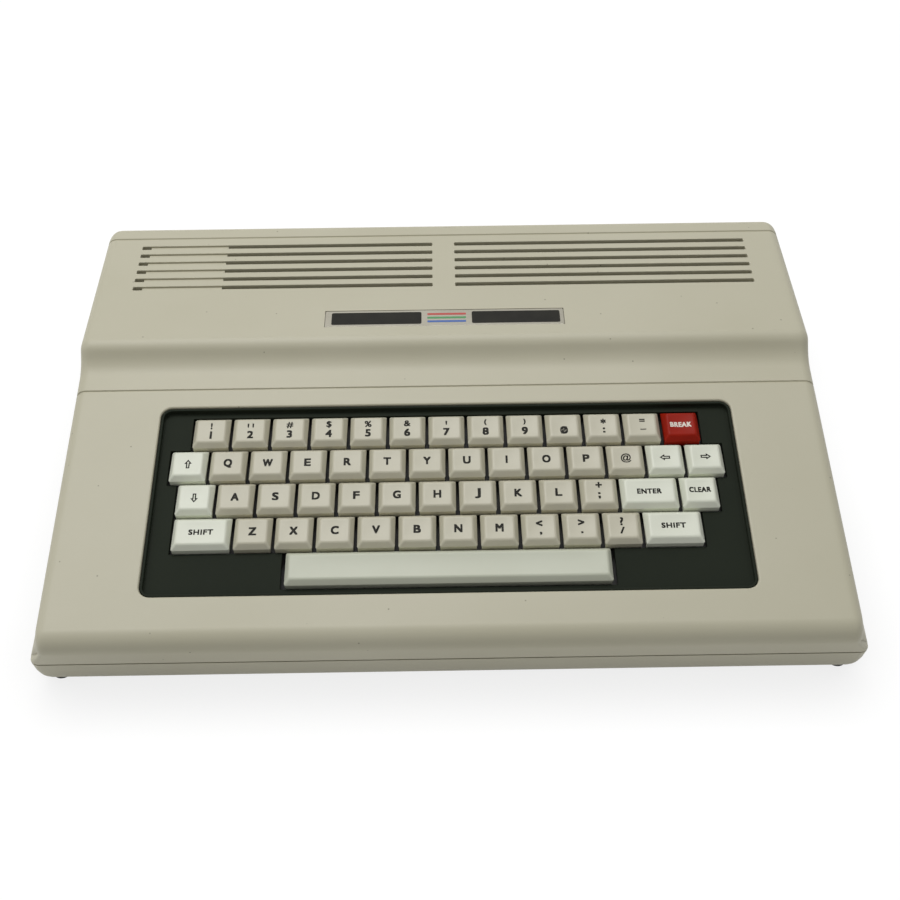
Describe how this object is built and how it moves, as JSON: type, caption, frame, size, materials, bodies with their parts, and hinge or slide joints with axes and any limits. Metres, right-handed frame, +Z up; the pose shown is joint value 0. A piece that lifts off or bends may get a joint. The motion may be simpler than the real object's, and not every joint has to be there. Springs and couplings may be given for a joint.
{
  "type": "home computer",
  "caption": "Wedge-shaped beige home computer with a recessed full-travel keyboard, raised vented back, cartridge bay in the side, and rear sockets and buttons.",
  "frame": {"origin": "middle of the footprint, on the surface the feet stand on", "axes": "+X to the user's right, +Y towards the back, +Z up; the keyboard faces -Y"},
  "size_m": [0.38, 0.2619, 0.076],
  "materials": {
    "case_top": "fine moulded texture, warm grey-beige",
    "case_bottom": "fine moulded texture, warm grey-beige",
    "foot_rubber": "soft black rubber",
    "screw_steel": "zinc-plated steel",
    "badge_metal": "satin aluminium with bare black panels and thin stripes",
    "bezel_black": "fine-grained black with a green cast",
    "frame_black": "glass-filled plastic",
    "dome_rubber": "translucent pale silicone",
    "contact_laminate": "brown laminate with printed contacts",
    "board_green": "green solder mask",
    "chip_black": "moulded black packages",
    "sink_black": "black anodised",
    "transformer_steel": "varnished laminations",
    "connector_black": "black phenolic",
    "flap_plastic": "moulded plastic",
    "can_tin": "tin-plated sheet",
    "slider_black": "moulded plastic",
    "socket_black": "moulded plastic",
    "switch_black": "moulded plastic",
    "button_black": "smooth plastic",
    "gland_black": "black nylon",
    "key_beige": "satin moulded keycap",
    "key_white": "satin moulded keycap",
    "key_red": "satin moulded keycap"
  },
  "bodies": {
    "case": {"top_cover": "case_top", "bottom_case": "case_bottom", "rubber_feet": "foot_rubber", "screws": "screw_steel", "nameplate": "badge_metal", "vent_baffle": "case_top", "keyboard_bezel": "bezel_black", "key_frame": "frame_black", "dome_sheet": "dome_rubber", "contact_board": "contact_laminate", "main_board": "board_green", "board_parts": "chip_black", "heat_sink": "sink_black", "transformer": "transformer_steel", "cartridge_connector": "connector_black", "rf_modulator": "can_tin", "round_sockets": "socket_black", "push_switches": "switch_black", "cord_gland": "gland_black"},
    "number_and_sign_keys": {"number_and_sign_keys": "key_beige"},
    "key_break": {"key_break": "key_red"},
    "key_up": {"key_up": "key_white"},
    "key_left": {"key_left": "key_white"},
    "key_right": {"key_right": "key_white"},
    "key_down": {"key_down": "key_white"},
    "key_enter": {"key_enter": "key_white"},
    "key_clear": {"key_clear": "key_white"},
    "key_left_shift": {"key_left_shift": "key_white"},
    "key_right_shift": {"key_right_shift": "key_white"},
    "space_bar": {"space_bar": "key_white"},
    "key_q": {"key_q": "key_beige"},
    "key_w": {"key_w": "key_beige"},
    "key_e": {"key_e": "key_beige"},
    "key_r": {"key_r": "key_beige"},
    "key_t": {"key_t": "key_beige"},
    "key_y": {"key_y": "key_beige"},
    "key_u": {"key_u": "key_beige"},
    "key_i": {"key_i": "key_beige"},
    "key_o": {"key_o": "key_beige"},
    "key_p": {"key_p": "key_beige"},
    "key_a": {"key_a": "key_beige"},
    "key_s": {"key_s": "key_beige"},
    "key_d": {"key_d": "key_beige"},
    "key_f": {"key_f": "key_beige"},
    "key_g": {"key_g": "key_beige"},
    "key_h": {"key_h": "key_beige"},
    "key_j": {"key_j": "key_beige"},
    "key_k": {"key_k": "key_beige"},
    "key_l": {"key_l": "key_beige"},
    "key_z": {"key_z": "key_beige"},
    "key_x": {"key_x": "key_beige"},
    "key_c": {"key_c": "key_beige"},
    "key_v": {"key_v": "key_beige"},
    "key_b": {"key_b": "key_beige"},
    "key_n": {"key_n": "key_beige"},
    "key_m": {"key_m": "key_beige"},
    "cartridge_flap": {"cartridge_flap": "flap_plastic"},
    "channel_slider": {"channel_slider": "slider_black"},
    "power_button": {"power_button": "button_black"},
    "reset_button": {"reset_button": "button_black"}
  },
  "joints": [
    {"name": "number_and_sign_keys_press", "type": "slide", "parent": "case", "child": "number_and_sign_keys", "axis": [0, 0.1788, -0.9839], "range_m": [0, 0.0038], "stiffness_N_per_m": 1500, "springref_m": -0.0035, "deforming": ["dome_sheet"]},
    {"name": "key_break_press", "type": "slide", "parent": "case", "child": "key_break", "axis": [0, 0.1788, -0.9839], "range_m": [0, 0.0038], "stiffness_N_per_m": 150, "springref_m": -0.0035},
    {"name": "key_up_press", "type": "slide", "parent": "case", "child": "key_up", "axis": [0, 0.1788, -0.9839], "range_m": [0, 0.0038], "stiffness_N_per_m": 150, "springref_m": -0.0035},
    {"name": "key_left_press", "type": "slide", "parent": "case", "child": "key_left", "axis": [0, 0.1788, -0.9839], "range_m": [0, 0.0038], "stiffness_N_per_m": 150, "springref_m": -0.0035},
    {"name": "key_right_press", "type": "slide", "parent": "case", "child": "key_right", "axis": [0, 0.1788, -0.9839], "range_m": [0, 0.0038], "stiffness_N_per_m": 150, "springref_m": -0.0035},
    {"name": "key_down_press", "type": "slide", "parent": "case", "child": "key_down", "axis": [0, 0.1788, -0.9839], "range_m": [0, 0.0038], "stiffness_N_per_m": 150, "springref_m": -0.0035},
    {"name": "key_enter_press", "type": "slide", "parent": "case", "child": "key_enter", "axis": [0, 0.1788, -0.9839], "range_m": [0, 0.0038], "stiffness_N_per_m": 150, "springref_m": -0.0035},
    {"name": "key_clear_press", "type": "slide", "parent": "case", "child": "key_clear", "axis": [0, 0.1788, -0.9839], "range_m": [0, 0.0038], "stiffness_N_per_m": 150, "springref_m": -0.0035},
    {"name": "key_left_shift_press", "type": "slide", "parent": "case", "child": "key_left_shift", "axis": [0, 0.1788, -0.9839], "range_m": [0, 0.0038], "stiffness_N_per_m": 150, "springref_m": -0.0035},
    {"name": "key_right_shift_press", "type": "slide", "parent": "case", "child": "key_right_shift", "axis": [0, 0.1788, -0.9839], "range_m": [0, 0.0038], "stiffness_N_per_m": 150, "springref_m": -0.0035},
    {"name": "space_bar_press", "type": "slide", "parent": "case", "child": "space_bar", "axis": [0, 0.1788, -0.9839], "range_m": [0, 0.0038], "stiffness_N_per_m": 240, "springref_m": -0.0035},
    {"name": "key_q_press", "type": "slide", "parent": "case", "child": "key_q", "axis": [0, 0.1788, -0.9839], "range_m": [0, 0.0038], "stiffness_N_per_m": 150, "springref_m": -0.0035},
    {"name": "key_w_press", "type": "slide", "parent": "case", "child": "key_w", "axis": [0, 0.1788, -0.9839], "range_m": [0, 0.0038], "stiffness_N_per_m": 150, "springref_m": -0.0035},
    {"name": "key_e_press", "type": "slide", "parent": "case", "child": "key_e", "axis": [0, 0.1788, -0.9839], "range_m": [0, 0.0038], "stiffness_N_per_m": 150, "springref_m": -0.0035},
    {"name": "key_r_press", "type": "slide", "parent": "case", "child": "key_r", "axis": [0, 0.1788, -0.9839], "range_m": [0, 0.0038], "stiffness_N_per_m": 150, "springref_m": -0.0035},
    {"name": "key_t_press", "type": "slide", "parent": "case", "child": "key_t", "axis": [0, 0.1788, -0.9839], "range_m": [0, 0.0038], "stiffness_N_per_m": 150, "springref_m": -0.0035},
    {"name": "key_y_press", "type": "slide", "parent": "case", "child": "key_y", "axis": [0, 0.1788, -0.9839], "range_m": [0, 0.0038], "stiffness_N_per_m": 150, "springref_m": -0.0035},
    {"name": "key_u_press", "type": "slide", "parent": "case", "child": "key_u", "axis": [0, 0.1788, -0.9839], "range_m": [0, 0.0038], "stiffness_N_per_m": 150, "springref_m": -0.0035},
    {"name": "key_i_press", "type": "slide", "parent": "case", "child": "key_i", "axis": [0, 0.1788, -0.9839], "range_m": [0, 0.0038], "stiffness_N_per_m": 150, "springref_m": -0.0035},
    {"name": "key_o_press", "type": "slide", "parent": "case", "child": "key_o", "axis": [0, 0.1788, -0.9839], "range_m": [0, 0.0038], "stiffness_N_per_m": 150, "springref_m": -0.0035},
    {"name": "key_p_press", "type": "slide", "parent": "case", "child": "key_p", "axis": [0, 0.1788, -0.9839], "range_m": [0, 0.0038], "stiffness_N_per_m": 150, "springref_m": -0.0035},
    {"name": "key_a_press", "type": "slide", "parent": "case", "child": "key_a", "axis": [0, 0.1788, -0.9839], "range_m": [0, 0.0038], "stiffness_N_per_m": 150, "springref_m": -0.0035},
    {"name": "key_s_press", "type": "slide", "parent": "case", "child": "key_s", "axis": [0, 0.1788, -0.9839], "range_m": [0, 0.0038], "stiffness_N_per_m": 150, "springref_m": -0.0035},
    {"name": "key_d_press", "type": "slide", "parent": "case", "child": "key_d", "axis": [0, 0.1788, -0.9839], "range_m": [0, 0.0038], "stiffness_N_per_m": 150, "springref_m": -0.0035},
    {"name": "key_f_press", "type": "slide", "parent": "case", "child": "key_f", "axis": [0, 0.1788, -0.9839], "range_m": [0, 0.0038], "stiffness_N_per_m": 150, "springref_m": -0.0035},
    {"name": "key_g_press", "type": "slide", "parent": "case", "child": "key_g", "axis": [0, 0.1788, -0.9839], "range_m": [0, 0.0038], "stiffness_N_per_m": 150, "springref_m": -0.0035},
    {"name": "key_h_press", "type": "slide", "parent": "case", "child": "key_h", "axis": [0, 0.1788, -0.9839], "range_m": [0, 0.0038], "stiffness_N_per_m": 150, "springref_m": -0.0035},
    {"name": "key_j_press", "type": "slide", "parent": "case", "child": "key_j", "axis": [0, 0.1788, -0.9839], "range_m": [0, 0.0038], "stiffness_N_per_m": 150, "springref_m": -0.0035},
    {"name": "key_k_press", "type": "slide", "parent": "case", "child": "key_k", "axis": [0, 0.1788, -0.9839], "range_m": [0, 0.0038], "stiffness_N_per_m": 150, "springref_m": -0.0035},
    {"name": "key_l_press", "type": "slide", "parent": "case", "child": "key_l", "axis": [0, 0.1788, -0.9839], "range_m": [0, 0.0038], "stiffness_N_per_m": 150, "springref_m": -0.0035},
    {"name": "key_z_press", "type": "slide", "parent": "case", "child": "key_z", "axis": [0, 0.1788, -0.9839], "range_m": [0, 0.0038], "stiffness_N_per_m": 150, "springref_m": -0.0035},
    {"name": "key_x_press", "type": "slide", "parent": "case", "child": "key_x", "axis": [0, 0.1788, -0.9839], "range_m": [0, 0.0038], "stiffness_N_per_m": 150, "springref_m": -0.0035},
    {"name": "key_c_press", "type": "slide", "parent": "case", "child": "key_c", "axis": [0, 0.1788, -0.9839], "range_m": [0, 0.0038], "stiffness_N_per_m": 150, "springref_m": -0.0035},
    {"name": "key_v_press", "type": "slide", "parent": "case", "child": "key_v", "axis": [0, 0.1788, -0.9839], "range_m": [0, 0.0038], "stiffness_N_per_m": 150, "springref_m": -0.0035},
    {"name": "key_b_press", "type": "slide", "parent": "case", "child": "key_b", "axis": [0, 0.1788, -0.9839], "range_m": [0, 0.0038], "stiffness_N_per_m": 150, "springref_m": -0.0035},
    {"name": "key_n_press", "type": "slide", "parent": "case", "child": "key_n", "axis": [0, 0.1788, -0.9839], "range_m": [0, 0.0038], "stiffness_N_per_m": 150, "springref_m": -0.0035},
    {"name": "key_m_press", "type": "slide", "parent": "case", "child": "key_m", "axis": [0, 0.1788, -0.9839], "range_m": [0, 0.0038], "stiffness_N_per_m": 150, "springref_m": -0.0035},
    {"name": "flap_swing", "type": "hinge", "parent": "case", "child": "cartridge_flap", "pos_m": [0.18205, 0.029, 0.0367], "axis": [0, 1, 0], "range_deg": [0, 80], "stiffness_Nm_per_rad": 0.01, "springref_deg": -20.05},
    {"name": "channel_slide", "type": "slide", "parent": "case", "child": "channel_slider", "axis": [1, 0, 0], "range_m": [0, 0.004]},
    {"name": "power_press", "type": "slide", "parent": "case", "child": "power_button", "axis": [0, -1, 0], "range_m": [0, 0.003], "stiffness_N_per_m": 300, "springref_m": -0.002},
    {"name": "reset_press", "type": "slide", "parent": "case", "child": "reset_button", "axis": [0, -1, 0], "range_m": [0, 0.003], "stiffness_N_per_m": 300, "springref_m": -0.002}
  ]
}
